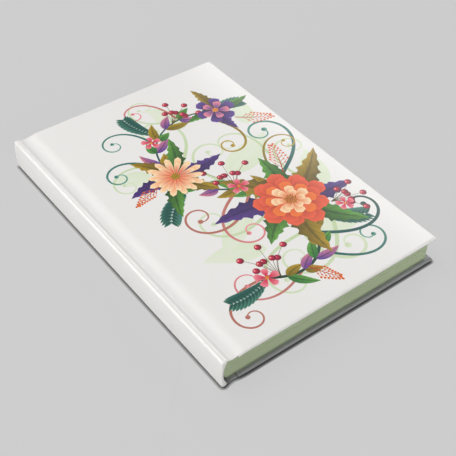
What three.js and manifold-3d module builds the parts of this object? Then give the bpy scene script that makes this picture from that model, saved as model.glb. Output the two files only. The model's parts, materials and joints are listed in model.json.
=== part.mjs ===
// A hardcover daily planner: a sewn block of ruled leaves in a printed paper case, lying shut on its
// back cover. Millimetres. X runs from the spine to the fore-edge, Y from the tail of the page to its
// head, and Z up through the front cover. The origin is the middle of the footprint, at its bottom.

import * as THREE from 'three';
import { mergeVertices } from 'three/addons/utils/BufferGeometryUtils.js';
import Module from 'manifold-3d';

const wasm = await Module();
wasm.setup();

// Leaves and signatures
const PAGE_W = 143;
const PAGE_H = 210;
const LEAF_T = 0.092;
const SIGNATURE_LEAVES = 8;
const SIGNATURES_PER_HALF = 8;
const TURNING_LEAVES = 4;
const TURNING_LEAF_T = 0.12;

// Case
const SQUARE = 3;
const BOARD_T = 2;
const COVER_PAPER_T = 0.25;
const TURN_IN = 15;
const EDGE_RADIUS = 1;
const SPINE_INLAY_T = 0.25;
const SPINE_ROUND = 2.2;

// Joint between the spine and each board
const JOINT_W = 6;
const GROOVE_DEPTH = 1.15;
const GROOVE_VALLEY = 5.6;
const GROOVE_RUN = 9.5;
const JOINT_PAPER_T = 0.45;

// What holds the block in the case
const END_PAPER_T = 0.15;
const END_PAPER_INSET = 2.5;
const MULL_T = 0.2;
const MULL_FLANGE = 22;
const MULL_SHORT = 12;
const THREAD_D = 0.4;
const SEWING_STATIONS = 4;
const SEWING_MARGIN = 25;

// Clearances
const GLUE_LINE = 0.02;
const LEAF_GAP = 0.2;
const COVER_GAP = 0.2;
const HINGE_GAP = 0.3;
const HOLLOW = 0.4;

// Facets and cutting
const ARC_STEPS = 6;
const ROUND_STEPS = 16;
const GROOVE_STEPS = 10;
const CUT_PAST = 1;
const MERGE = 1e-5;

// Depths from the outside of the spine to each layer behind it, where it is not rounded
const COVER_T = BOARD_T + 2 * COVER_PAPER_T + 2 * GLUE_LINE;
const KNUCKLE_R = COVER_T / 2;
const MULL_X = COVER_T + HOLLOW;
const THREAD_X = MULL_X + MULL_T + GLUE_LINE;
const FOLD_X = THREAD_X + THREAD_D + GLUE_LINE;
const JOINT_X = COVER_T + HINGE_GAP;
const HINGE_X = JOINT_X + JOINT_W;
const BOARD_X = HINGE_X + HINGE_GAP;
const COVER_W = FOLD_X + PAGE_W + SQUARE;
const COVER_H = PAGE_H + 2 * SQUARE;

// Heights, from the table up
const SIGNATURE_T = SIGNATURE_LEAVES * LEAF_T;
const SIGNATURE_PITCH = SIGNATURE_T + GLUE_LINE;
const PASTEDOWN_Z = COVER_T + GLUE_LINE;
const FLYLEAF_Z = PASTEDOWN_Z + END_PAPER_T + GLUE_LINE;
const LOWER_Z = FLYLEAF_Z + END_PAPER_T + GLUE_LINE;
const LOWER_TOP = LOWER_Z + SIGNATURES_PER_HALF * SIGNATURE_PITCH - GLUE_LINE;
const TURNING_PITCH = TURNING_LEAF_T + LEAF_GAP;
const UPPER_Z = LOWER_TOP + LEAF_GAP + TURNING_LEAVES * TURNING_PITCH;
const UPPER_TOP = UPPER_Z + SIGNATURES_PER_HALF * SIGNATURE_PITCH - GLUE_LINE;
const FRONT_FLYLEAF_Z = UPPER_TOP + GLUE_LINE;
const BLOCK_TOP = FRONT_FLYLEAF_Z + END_PAPER_T;
const COVER_Z = BLOCK_TOP + COVER_GAP + END_PAPER_T + GLUE_LINE;
const THICKNESS = COVER_Z + COVER_T;

// The round of the spine: one arc through the middle of both its edges, about a line within the block
const ROUND_HALF = THICKNESS / 2 - KNUCKLE_R;
const ROUND_R = (SPINE_ROUND ** 2 + ROUND_HALF ** 2) / (2 * SPINE_ROUND);
const ROUND_X = KNUCKLE_R - SPINE_ROUND + ROUND_R;
const ROUND_TURN = THREE.MathUtils.radToDeg(Math.asin(ROUND_HALF / ROUND_R));

const COLOURS = {
  cover: 0xe3e2dd,
  inside: 0xf1efe6,
  board: 0x8d8b84,
  leaf: 0xf4f2e8,
  edge: 0x97a67c,
  mull: 0xd9d2bd,
  thread: 0xefeadb,
};

function finish(colour, roughness) {
  return new THREE.MeshStandardMaterial({ color: colour, roughness, metalness: 0 });
}

function piece(name, geometry, colour, roughness = 0.8) {
  const mesh = new THREE.Mesh(geometry, finish(colour, roughness));
  mesh.name = name;
  return mesh;
}

// A section drawn in X and Z, carried along Y from the tail side to the head side.
function prism(outline, length) {
  const shape = new THREE.Shape(outline.map(([x, z]) => new THREE.Vector2(x, z)));
  const geometry = new THREE.ExtrudeGeometry(shape, { depth: length, bevelEnabled: false });
  geometry.rotateX(Math.PI / 2);
  geometry.translate(0, length / 2, 0);
  return geometry;
}

// A flat slab between two corners of a section, as long as it says along Y.
function slab(x0, x1, z0, z1, length) {
  return prism([[x0, z0], [x1, z0], [x1, z1], [x0, z1]], length);
}

// Points along an arc in the section, both ends included.
function arc(x, z, radius, from, to, steps = ARC_STEPS) {
  const points = [];
  for (let i = 0; i <= steps; i += 1) {
    const turn = THREE.MathUtils.degToRad(from + (to - from) * i / steps);
    points.push([x + radius * Math.cos(turn), z + radius * Math.sin(turn)]);
  }
  return points;
}

// Where a layer at some depth behind the outside of the spine lies at height z, as the round carries it.
function roundX(depth, z) {
  return ROUND_X - Math.sqrt((ROUND_R + KNUCKLE_R - depth) ** 2 - (z - THICKNESS / 2) ** 2);
}

// That layer between two heights.
function roundLine(depth, z0, z1) {
  const points = [];
  for (let i = 0; i <= ROUND_STEPS; i += 1) {
    const z = z0 + (z1 - z0) * i / ROUND_STEPS;
    points.push([roundX(depth, z), z]);
  }
  return points;
}

function solid(geometry) {
  const bare = geometry.clone();
  bare.deleteAttribute('normal');
  bare.deleteAttribute('uv');
  const merged = mergeVertices(bare, MERGE);
  return new wasm.Manifold(new wasm.Mesh({
    numProp: 3,
    vertProperties: new Float32Array(merged.attributes.position.array),
    triVerts: new Uint32Array(merged.index.array),
  }));
}

function geometryOf(manifold) {
  const mesh = manifold.getMesh();
  const geometry = new THREE.BufferGeometry();
  geometry.setAttribute('position', new THREE.BufferAttribute(mesh.vertProperties, 3));
  geometry.setIndex(new THREE.BufferAttribute(mesh.triVerts, 1));
  geometry.computeVertexNormals();
  return geometry;
}

// How far the outside of the case dips at a distance x from the back of the spine: down a half wave
// from the spine's edge to the valley, then up a longer half wave onto the board.
function grooveDip(x) {
  const end = GROOVE_VALLEY + GROOVE_RUN;
  if (x <= KNUCKLE_R || x >= end) return 0;
  const span = x < GROOVE_VALLEY ? GROOVE_VALLEY - KNUCKLE_R : end - GROOVE_VALLEY;
  return GROOVE_DEPTH * (1 + Math.cos(Math.PI * (x - GROOVE_VALLEY) / span)) / 2;
}

// The outside of the case between two distances from the spine, seen from the front cover.
function grooveLine(x0, x1, drop) {
  const points = [];
  for (let i = 0; i <= GROOVE_STEPS; i += 1) {
    const x = x0 + (x1 - x0) * i / GROOVE_STEPS;
    points.push([x, THICKNESS - grooveDip(x) - drop]);
  }
  return points;
}

// The back of the case is the front turned over, about the middle of its thickness.
function turnedOver(outline, isBack) {
  return isBack ? outline.map(([x, z]) => [x, THICKNESS - z]) : outline;
}

// Section of a board or of the case around it. The inset is how far it lies inside the paper.
function coverSection(inset) {
  const eased = grooveLine(BOARD_X, GROOVE_VALLEY + GROOVE_RUN, inset);
  const edge = COVER_W - inset;
  const top = THICKNESS - inset;
  const bottom = THICKNESS - COVER_T + inset;
  const radius = EDGE_RADIUS - inset;
  return [
    ...eased,
    ...arc(edge - radius, top - radius, radius, 90, 0),
    ...arc(edge - radius, bottom + radius, radius, 0, -90),
    [BOARD_X, bottom],
  ];
}

const PAPER_INSET = COVER_PAPER_T + GLUE_LINE;

function boardGeometry(isBack) {
  return prism(turnedOver(coverSection(PAPER_INSET), isBack), COVER_H - 2 * PAPER_INSET);
}

// The printed paper round one board: its outside, its folded edges, and the turn-ins glued inside.
function coverPaperGeometry(isBack) {
  const wrap = solid(prism(turnedOver(coverSection(0), isBack), COVER_H));
  const roomSection = coverSection(COVER_PAPER_T);
  roomSection[0][0] = BOARD_X - CUT_PAST;
  roomSection.at(-1)[0] = BOARD_X - CUT_PAST;
  const room = solid(prism(turnedOver(roomSection, isBack), COVER_H - 2 * COVER_PAPER_T));
  const inner = THICKNESS - COVER_T;
  const windowSection = [
    [BOARD_X - CUT_PAST, inner - CUT_PAST],
    [COVER_W - TURN_IN, inner - CUT_PAST],
    [COVER_W - TURN_IN, inner + COVER_PAPER_T + GLUE_LINE / 2],
    [BOARD_X - CUT_PAST, inner + COVER_PAPER_T + GLUE_LINE / 2],
  ];
  const opening = solid(prism(turnedOver(windowSection, isBack), COVER_H - 2 * TURN_IN));
  return geometryOf(wrap.subtract(room).subtract(opening));
}

// The paper across the joint, pressed into the groove between the spine and a board.
function jointPaperGeometry(isBack) {
  const outside = grooveLine(JOINT_X, HINGE_X, 0);
  const inside = grooveLine(JOINT_X, HINGE_X, JOINT_PAPER_T).reverse();
  return prism(turnedOver([...outside, ...inside], isBack), COVER_H);
}

// The open-weave cloth glued down the folds, and its flange across the joint. One section for both
// halves of the block, drawn for the back one.
const MULL_LENGTH = PAGE_H - 2 * MULL_SHORT;
const FLANGE_Z = COVER_T - COVER_PAPER_T + (COVER_PAPER_T - MULL_T) / 2;

function mullGeometry(flangeEnd, blockEnd, isBack) {
  const z0 = FLANGE_Z;
  const outline = [
    [flangeEnd, z0],
    [flangeEnd, z0 + MULL_T],
    ...roundLine(MULL_X + MULL_T, z0 + MULL_T, blockEnd),
    ...roundLine(MULL_X, blockEnd, z0),
  ];
  return prism(turnedOver(outline, !isBack), MULL_LENGTH);
}

// An endpaper half pasted over the turn-ins. Its middle sinks between them onto the board, and starts
// beyond the flange of the mull.
function pastedownGeometry(x0, isBack) {
  const z0 = THICKNESS - PASTEDOWN_Z - END_PAPER_T;
  const edge = COVER_W - END_PAPER_INSET;
  const sheet = [
    [x0, z0],
    [edge, z0],
    [edge, z0 + END_PAPER_T],
    [x0, z0 + END_PAPER_T],
  ];
  const padEnd = COVER_W - TURN_IN - GLUE_LINE;
  const padStart = BOARD_X + MULL_FLANGE + GLUE_LINE;
  const pad = [
    [padStart, z0 + END_PAPER_T / 2],
    [padEnd, z0 + END_PAPER_T / 2],
    [padEnd, THICKNESS - COVER_T + COVER_PAPER_T],
    [padStart, THICKNESS - COVER_T + COVER_PAPER_T],
  ];
  const top = solid(prism(turnedOver(sheet, isBack), COVER_H - 2 * END_PAPER_INSET));
  const sunk = solid(prism(turnedOver(pad, isBack), COVER_H - 2 * TURN_IN - 2 * GLUE_LINE));
  return geometryOf(top.add(sunk));
}

// Eight leaves folded together, from height z up: a round fold at the spine, as far out as the round
// puts it, and trimmed square at the fore-edge.
function signatureGeometry(z) {
  const radius = SIGNATURE_T / 2;
  return prism([
    ...arc(roundX(FOLD_X + radius, z + radius), z + radius, radius, 270, 90),
    [FOLD_X + PAGE_W, z + SIGNATURE_T],
    [FOLD_X + PAGE_W, z],
  ], PAGE_H);
}

// The stitches across the folds at one sewing station: a half-round cord turned about the same line as
// the round of the spine.
function stitchGeometry(z0, z1) {
  const reach = ROUND_R + KNUCKLE_R - THREAD_X;
  const [from, to] = [z0, z1].map((z) => Math.asin((z - THICKNESS / 2) / reach));
  const section = arc(reach - THREAD_D, 0, THREAD_D, -90, 90);
  const cord = wasm.Manifold.revolve([section], ROUND_STEPS, THREE.MathUtils.radToDeg(to - from));
  const geometry = geometryOf(cord);
  geometry.rotateX(Math.PI / 2);
  geometry.rotateZ(Math.PI);
  geometry.rotateY(from);
  geometry.translate(ROUND_X, 0, THICKNESS / 2);
  return geometry;
}

function backCover() {
  const cover = new THREE.Group();
  cover.add(piece('back_board', boardGeometry(true), COLOURS.board, 0.95));
  cover.add(piece('back_cover_paper', coverPaperGeometry(true), COLOURS.cover, 0.35));
  cover.add(piece('back_joint_paper', jointPaperGeometry(true), COLOURS.cover, 0.35));
  cover.add(piece('back_pastedown', pastedownGeometry(FOLD_X, true), COLOURS.inside));
  return cover;
}

function frontCover() {
  const cover = new THREE.Group();
  const flange = slab(
    BOARD_X,
    BOARD_X + MULL_FLANGE,
    THICKNESS - FLANGE_Z - MULL_T,
    THICKNESS - FLANGE_Z,
    MULL_LENGTH,
  );
  cover.add(piece('front_board', boardGeometry(false), COLOURS.board, 0.95));
  cover.add(piece('front_cover_paper', coverPaperGeometry(false), COLOURS.cover, 0.35));
  cover.add(piece('front_mull_flange', flange, COLOURS.mull, 0.95));
  cover.add(piece('front_pastedown', pastedownGeometry(BOARD_X, false), COLOURS.inside));
  return cover;
}

// An arc of the spine's round, from one side of the middle to the other.
function spineArc(radius, turn) {
  return arc(ROUND_X, THICKNESS / 2, radius, 180 - turn, 180 + turn, ROUND_STEPS);
}

// The outside of the spine at some distance from the middle of its thickness: round the upper hinge
// line, down the back and round the lower hinge line.
function spineLine(radius) {
  return [
    ...arc(KNUCKLE_R, THICKNESS - KNUCKLE_R, radius, -ROUND_TURN, 180 - ROUND_TURN),
    ...spineArc(ROUND_R + radius, ROUND_TURN).slice(1, -1),
    ...arc(KNUCKLE_R, KNUCKLE_R, radius, 180 + ROUND_TURN, 360 + ROUND_TURN),
  ];
}

// The stiff strip in the back of the case, rounded. Its long edges are round about the two hinge lines.
function spine() {
  const strip = new THREE.Group();
  const boardR = BOARD_T / 2;
  const inlayR = ROUND_R - boardR - GLUE_LINE;
  const inlayTurn = ROUND_TURN - THREE.MathUtils.radToDeg(GLUE_LINE / ROUND_R);
  const board = [
    ...spineLine(boardR),
    ...spineArc(ROUND_R - boardR, ROUND_TURN).slice(1, -1).reverse(),
  ];
  const paper = [...spineLine(KNUCKLE_R), ...spineLine(boardR + GLUE_LINE).reverse()];
  const inlay = [
    ...spineArc(inlayR, inlayTurn),
    ...spineArc(inlayR - SPINE_INLAY_T, inlayTurn).reverse(),
  ];
  strip.add(piece('spine_board', prism(board, COVER_H - 2 * PAPER_INSET), COLOURS.board, 0.95));
  strip.add(piece('spine_cover_paper', prism(paper, COVER_H), COLOURS.cover, 0.35));
  strip.add(piece('spine_inlay', prism(inlay, COVER_H - 2 * TURN_IN), COLOURS.inside));
  return strip;
}

// One half of the block, from height z up: its signatures, numbered from the back cover, and its
// stitches, numbered from the tail.
function sewnHalf(z, firstNumber, stitchName) {
  const half = new THREE.Group();
  for (let i = 0; i < SIGNATURES_PER_HALF; i += 1) {
    const number = String(firstNumber + i).padStart(2, '0');
    const leafStack = signatureGeometry(z + i * SIGNATURE_PITCH);
    half.add(piece(`signature_${number}`, leafStack, COLOURS.edge, 0.9));
  }
  const firstFold = z + SIGNATURE_T / 2;
  const stitch = stitchGeometry(firstFold, firstFold + (SIGNATURES_PER_HALF - 1) * SIGNATURE_PITCH);
  for (let i = 0; i < SEWING_STATIONS; i += 1) {
    const cord = piece(`${stitchName}_${i + 1}`, stitch, COLOURS.thread, 0.7);
    cord.position.y = (PAGE_H - 2 * SEWING_MARGIN) * (i / (SEWING_STATIONS - 1) - 0.5);
    half.add(cord);
  }
  return half;
}

// A single leaf from height z up, as far out at the spine as the round puts it.
function leafGeometry(z, thickness) {
  return slab(roundX(FOLD_X, z + thickness / 2), FOLD_X + PAGE_W, z, z + thickness, PAGE_H);
}

function flyleaf(name, z) {
  return piece(name, leafGeometry(z, END_PAPER_T), COLOURS.inside);
}

function lowerHalf() {
  const half = new THREE.Group();
  const mull = mullGeometry(BOARD_X + MULL_FLANGE, LOWER_TOP - SIGNATURE_T / 2, true);
  half.add(sewnHalf(LOWER_Z, 1, 'lower_stitch'));
  half.add(flyleaf('back_flyleaf', FLYLEAF_Z));
  half.add(piece('back_mull', mull, COLOURS.mull, 0.95));
  return half;
}

function upperHalf() {
  const half = new THREE.Group();
  const mull = mullGeometry(HINGE_X, THICKNESS - UPPER_Z - SIGNATURE_T / 2, false);
  const hingeSheet = slab(
    FOLD_X,
    HINGE_X,
    THICKNESS - PASTEDOWN_Z - END_PAPER_T,
    THICKNESS - PASTEDOWN_Z,
    COVER_H - 2 * END_PAPER_INSET,
  );
  half.add(sewnHalf(UPPER_Z, 1 + SIGNATURES_PER_HALF, 'upper_stitch'));
  half.add(flyleaf('front_flyleaf', FRONT_FLYLEAF_Z));
  half.add(piece('front_mull', mull, COLOURS.mull, 0.95));
  half.add(piece('front_endpaper_hinge', hingeSheet, COLOURS.inside));
  half.add(piece('front_joint_paper', jointPaperGeometry(false), COLOURS.cover, 0.35));
  return half;
}

// Single leaves between the halves, free to fan out as the block opens.
function turningLeaves() {
  const leaves = new THREE.Group();
  for (let i = 0; i < TURNING_LEAVES; i += 1) {
    const leaf = leafGeometry(LOWER_TOP + LEAF_GAP + i * TURNING_PITCH, TURNING_LEAF_T);
    leaves.add(piece(`turning_leaf_${i + 1}`, leaf, COLOURS.leaf));
  }
  return leaves;
}

const planner = new THREE.Group();
planner.name = 'daily_planner';
planner.add(backCover(), lowerHalf(), spine(), turningLeaves(), upperHalf(), frontCover());
planner.position.x = (SPINE_ROUND - COVER_W) / 2;

export default planner;
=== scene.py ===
import json
import math

import bpy
import numpy as np
from mathutils import Matrix, Vector


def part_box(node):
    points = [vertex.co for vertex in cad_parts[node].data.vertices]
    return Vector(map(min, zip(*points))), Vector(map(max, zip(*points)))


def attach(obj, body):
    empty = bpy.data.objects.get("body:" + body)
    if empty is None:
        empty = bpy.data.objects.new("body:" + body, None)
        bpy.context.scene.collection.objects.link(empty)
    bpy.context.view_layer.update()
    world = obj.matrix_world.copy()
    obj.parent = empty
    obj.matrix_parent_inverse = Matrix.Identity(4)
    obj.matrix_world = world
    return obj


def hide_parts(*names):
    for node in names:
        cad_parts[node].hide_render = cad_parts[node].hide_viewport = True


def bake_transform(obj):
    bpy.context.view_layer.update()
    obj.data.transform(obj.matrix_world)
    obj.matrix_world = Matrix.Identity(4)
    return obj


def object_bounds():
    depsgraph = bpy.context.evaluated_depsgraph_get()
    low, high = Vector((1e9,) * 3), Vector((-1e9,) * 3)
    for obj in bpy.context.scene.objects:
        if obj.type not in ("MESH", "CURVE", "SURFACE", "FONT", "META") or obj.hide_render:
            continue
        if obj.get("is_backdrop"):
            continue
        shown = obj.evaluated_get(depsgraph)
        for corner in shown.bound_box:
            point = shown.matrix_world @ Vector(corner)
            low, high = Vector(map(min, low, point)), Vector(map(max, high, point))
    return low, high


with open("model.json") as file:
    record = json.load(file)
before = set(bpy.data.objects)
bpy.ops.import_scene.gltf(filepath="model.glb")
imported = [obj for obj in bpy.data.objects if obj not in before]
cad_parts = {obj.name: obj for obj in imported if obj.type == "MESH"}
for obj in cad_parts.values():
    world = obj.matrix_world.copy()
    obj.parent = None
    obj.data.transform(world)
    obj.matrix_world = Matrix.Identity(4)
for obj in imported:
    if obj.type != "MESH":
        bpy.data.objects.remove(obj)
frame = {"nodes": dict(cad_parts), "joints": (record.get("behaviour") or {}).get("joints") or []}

# The shut planner lies on its back cover with the spine on the left, and its head points away along Y.
# Its outside sizes come from the frame, in metres, before anything is dressed.
MM = 0.001
case_low, case_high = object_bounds()

# The camera stands over the tail and spine corner, where the photograph was taken from, with a long
# lens. Its three directions are those of the fitted view.
LENS_MM = 75.0
SENSOR_MM = 36.0
CAMERA_AT = Vector((-250.5, -337.4, 391.5)) * MM
VIEW_TURN = math.radians(37.78)
VIEW_FALL = math.radians(43.97)
VIEW_ROLL = math.radians(0.98)

camera_data = bpy.data.cameras.new("camera")
camera_data.lens = LENS_MM
camera_data.sensor_width = SENSOR_MM
camera = bpy.data.objects.new("camera", camera_data)
bpy.context.collection.objects.link(camera)
look = Vector((
    math.sin(VIEW_TURN) * math.cos(VIEW_FALL),
    math.cos(VIEW_TURN) * math.cos(VIEW_FALL),
    -math.sin(VIEW_FALL),
))
turn = look.to_track_quat("-Z", "Y").to_matrix().to_4x4()
camera.matrix_world = Matrix.Translation(CAMERA_AT) @ turn @ Matrix.Rotation(VIEW_ROLL, 4, "Z")
bpy.context.scene.camera = camera

# A plain pale floor and soft studio light: a wide softbox over the spine side, three fills that the
# laminate does not mirror, two long panels overhead, and an even grey surround. Each softbox has a name,
# a place, a size and a power, and says whether it is mirrored.
FLOOR_SIDE = 30.0
FLOOR_LEVELS = (-0.01, -0.0001)
FLOOR_GREY = 0.635
FLOOR_BOUNCE = 0.48
# The painted contact shadow: how far it reaches, how it leans to the tail side and how deep it is.
PAINTED_SHADOW_REACH = 2.1 * MM
PAINTED_SHADOW_LEAN = math.radians(40)
PAINTED_SHADOW_DEPTH = 3.2
FLOOR_EVEN = 0.84
BACKDROP_GREY = 0.597
SURROUND = 0.195
SOFTBOXES = (
    ("spine_softbox", (-0.84, 0.68, 0.81), 1.1, 5.2, True),
    ("low_fill", (-1.45, -0.05, 0.30), 0.6, 8.0, False),
    ("tail_fill", (-0.10, -1.20, 0.42), 0.8, 4.0, False),
    ("corner_fill", (0.34, -0.42, 0.17), 0.25, 0.60, False),
)


def box_grid(xs, ys, zs):
    """A closed box whose six faces are grids: the points of a 3-D lattice that lie on its outside, and
    the quads between them, all turned outwards. Returns the points and the quads."""
    nx, ny, nz = len(xs), len(ys), len(zs)
    index = np.arange(nx * ny * nz).reshape(nx, ny, nz)
    points = np.stack(np.meshgrid(xs, ys, zs, indexing="ij"), -1).reshape(-1, 3)

    def quads(face, flip):
        corners = [face[:-1, :-1], face[1:, :-1], face[1:, 1:], face[:-1, 1:]]
        if flip:
            corners.reverse()
        return np.stack([c.ravel() for c in corners], -1)

    faces = np.concatenate([
        quads(index[:, :, 0], True), quads(index[:, :, -1], False),
        quads(index[:, 0, :], False), quads(index[:, -1, :], True),
        quads(index[0, :, :], True), quads(index[-1, :, :], False),
    ])
    used, packed = np.unique(faces, return_inverse=True)
    return points[used], packed.reshape(faces.shape)


def make_piece(name, points, faces, material, smooth=True, caps=()):
    """A mesh object from points, quads or triangles, and flat caps with any number of corners. Its point
    attribute Rest keeps where each point lies at rest, for patterns that follow the piece as it bends."""
    points = np.asarray(points, float)
    mesh = bpy.data.meshes.new(name)
    mesh.from_pydata(points.tolist(), [], np.asarray(faces).tolist() + list(caps))
    mesh.polygons.foreach_set("use_smooth", np.repeat([smooth, False], [len(faces), len(caps)]))
    rest = mesh.attributes.new("Rest", "FLOAT_VECTOR", "POINT")
    rest.data.foreach_set("vector", points.astype(np.float32).ravel())
    mesh.materials.append(material)
    mesh.update()
    made = bpy.data.objects.new(name, mesh)
    bpy.context.collection.objects.link(made)
    return made


def new_material(name, colour, roughness):
    """A material with its principled shader, its node tree's nodes and its links, ready for detail."""
    material = bpy.data.materials.new(name)
    material.use_nodes = True
    nodes = material.node_tree.nodes
    shader = nodes["Principled BSDF"]
    shader.inputs["Base Color"].default_value = (*colour, 1.0)
    shader.inputs["Roughness"].default_value = roughness
    return material, nodes, material.node_tree.links, shader


def maths(nodes, links, kind, first, second=0.0):
    """One Math node: kind of first and second, each a socket or a number."""
    node = nodes.new("ShaderNodeMath")
    node.operation = kind
    for socket, value in zip(node.inputs, (first, second)):
        if isinstance(value, (int, float)):
            socket.default_value = value
        else:
            links.new(value, socket)
    return node.outputs[0]


# The floor is matt grey. What the camera sees of it is mostly an even grey backdrop with a painted shadow:
# its glow dims where the planner stands close, more on the tail side, and the rest is the floor's own light
# and shadow.
floor_material, nodes, links, shader = new_material("floor", (FLOOR_BOUNCE,) * 3, 0.9)
shader.inputs["Specular IOR Level"].default_value = 0.0
# A painted contact shadow: occlusion near the planner dims the backdrop's glow.
closeness = nodes.new("ShaderNodeAmbientOcclusion")
closeness.inputs["Distance"].default_value = PAINTED_SHADOW_REACH
lean = nodes.new("ShaderNodeCombineXYZ")
lean.inputs["Y"].default_value = math.sin(PAINTED_SHADOW_LEAN)
lean.inputs["Z"].default_value = math.cos(PAINTED_SHADOW_LEAN)
links.new(lean.outputs[0], closeness.inputs["Normal"])
painted_contact_shadow = maths(nodes, links, "POWER", closeness.outputs["AO"], PAINTED_SHADOW_DEPTH)
backdrop = nodes.new("ShaderNodeEmission")
backdrop.inputs["Color"].default_value = (FLOOR_GREY, FLOOR_GREY, FLOOR_GREY, 1.0)
links.new(painted_contact_shadow, backdrop.inputs["Strength"])
ray = nodes.new("ShaderNodeLightPath")
share = maths(nodes, links, "MULTIPLY", ray.outputs["Is Camera Ray"], FLOOR_EVEN)
mixed = nodes.new("ShaderNodeMixShader")
links.new(share, mixed.inputs[0])
links.new(shader.outputs[0], mixed.inputs[1])
links.new(backdrop.outputs[0], mixed.inputs[2])
links.new(mixed.outputs[0], nodes["Material Output"].inputs["Surface"])
sides = np.array([-FLOOR_SIDE, FLOOR_SIDE])
points, faces = box_grid(sides, sides, FLOOR_LEVELS)
floor = make_piece("floor", points, faces, floor_material, smooth=False)
floor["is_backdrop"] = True


def area_lamp(name, place, shape, width, length, power):
    """A lamp of some shape and size that hangs level at a place and shines down."""
    lamp = bpy.data.lights.new(name, "AREA")
    lamp.shape = shape
    lamp.size = width
    lamp.size_y = length
    lamp.energy = power
    made = bpy.data.objects.new(name, lamp)
    made.location = place
    bpy.context.collection.objects.link(made)
    return made


for name, place, size, power, mirrored in SOFTBOXES:
    softbox = area_lamp(name, place, "DISK", size, size, power)
    aim = Vector(place).to_track_quat("Z", "Y").to_matrix().to_4x4()
    softbox.matrix_world = Matrix.Translation(place) @ aim
    softbox.visible_glossy = mirrored

# Two long panels overhead, level and square to the planner, each with a place, a width, a length and a
# power. Seen from the camera, one is mirrored along the fore-edge and the other in the groove's slope.
PANELS = (
    ("fore_panel", (1.075, 0.90, 0.95), 0.45, 1.10, 7.0),
    ("groove_panel", (-0.28, 0.56, 1.16), 0.36, 1.50, 8.8),
)
for name, place, width, length, power in PANELS:
    area_lamp(name, place, "RECTANGLE", width, length, power)

# The even surround lights the planner from all sides. Where the camera looks past the floor, it sees the
# backdrop's grey in the surround's place.
world = bpy.data.worlds.new("studio")
world.use_nodes = True
nodes, links = world.node_tree.nodes, world.node_tree.links
surround = nodes["Background"]
surround.inputs["Color"].default_value = (1.0, 1.0, 1.0, 1.0)
surround.inputs["Strength"].default_value = SURROUND
backdrop = nodes.new("ShaderNodeBackground")
backdrop.inputs["Color"].default_value = (1.0, 1.0, 1.0, 1.0)
backdrop.inputs["Strength"].default_value = BACKDROP_GREY
ray = nodes.new("ShaderNodeLightPath")
mixed = nodes.new("ShaderNodeMixShader")
links.new(ray.outputs["Is Camera Ray"], mixed.inputs[0])
links.new(surround.outputs[0], mixed.inputs[1])
links.new(backdrop.outputs[0], mixed.inputs[2])
links.new(mixed.outputs[0], nodes["World Output"].inputs["Surface"])
bpy.context.scene.world = world
bpy.context.scene.view_settings.view_transform = "Standard"

# The sixteen signatures, each eight cream leaves folded at the spine, sewn and trimmed, with the three
# trimmed edges tinted sage. Depths are counted from SPINE_X, where the outside of the spine would lie if it
# had no round.
COVER_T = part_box("back_cover_paper")[1].z
KNUCKLE_R = COVER_T / 2
hinge = {joint["name"]: Vector(joint["pos_m"]) for joint in frame["joints"]}
SPINE_X = hinge["open_middle"].x - KNUCKLE_R
MULL_DEPTH = COVER_T + 0.40 * MM
THREAD_DEPTH = MULL_DEPTH + 0.22 * MM
FOLD_DEPTH = THREAD_DEPTH + 0.42 * MM
FOLD_X = SPINE_X + FOLD_DEPTH
PAGE_EDGE_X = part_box("signature_01")[1].x
PAGE_END_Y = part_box("signature_01")[1].y
SIGNATURES = 16
LEAVES = 8
LEAF_NOTCH = 0.035 * MM
EDGE_TINT = (0.43, 0.50, 0.33)
PAPER_CREAM = (0.87, 0.85, 0.77)
RULE_PITCH = 7.0 * MM
RULE_WIDTH = 0.16 * MM
RULE_INK = (0.50, 0.54, 0.50)
RULE_MARGIN_X = 11 * MM
RULE_MARGIN_Y = 16 * MM
RULE_SHIFT_Y = -4 * MM
STREAK_SCALES = (25.0, 25.0, 9000.0)
STREAK_DARK = 0.90
STREAK_LIGHT = 1.08
RIM = 0.06 * MM
TRIM_STEP = 0.05 * MM
NEAR_FOLD = 8 * MM
HAIR = 1e-7


def rest_channel(nodes, links, axis):
    """The value of one coordinate of the Rest attribute: where on the piece at rest, along one axis."""
    rest = nodes.new("ShaderNodeAttribute")
    rest.attribute_name = "Rest"
    split = nodes.new("ShaderNodeSeparateXYZ")
    links.new(rest.outputs["Vector"], split.inputs[0])
    return split.outputs[axis]


def mix_colours(nodes, links, share, first, second):
    """A colour that goes from first to second, sockets or plain colours, as share goes from 0 to 1."""
    node = nodes.new("ShaderNodeMix")
    node.data_type = "RGBA"
    links.new(share, node.inputs["Factor"])
    for socket, value in zip((node.inputs[6], node.inputs[7]), (first, second)):
        if isinstance(value, tuple):
            socket.default_value = (*value, 1.0)
        else:
            links.new(value, socket)
    return node.outputs[2]


def noise(nodes, links, vector, scale, detail):
    """The value of one noise texture at a vector."""
    texture = nodes.new("ShaderNodeTexNoise")
    texture.inputs["Scale"].default_value = scale
    texture.inputs["Detail"].default_value = detail
    links.new(vector, texture.inputs["Vector"])
    return texture.outputs["Fac"]


def rim_share(nodes, links, x, y):
    """1 at the trimmed edges of a sheet, which lie at the page's rim, and 0 on its flat."""
    near_fore = maths(nodes, links, "GREATER_THAN", x, PAGE_EDGE_X - RIM)
    from_middle = maths(nodes, links, "ABSOLUTE", y)
    near_end = maths(nodes, links, "GREATER_THAN", from_middle, PAGE_END_Y - RIM)
    return maths(nodes, links, "MAXIMUM", near_fore, near_end)


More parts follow.
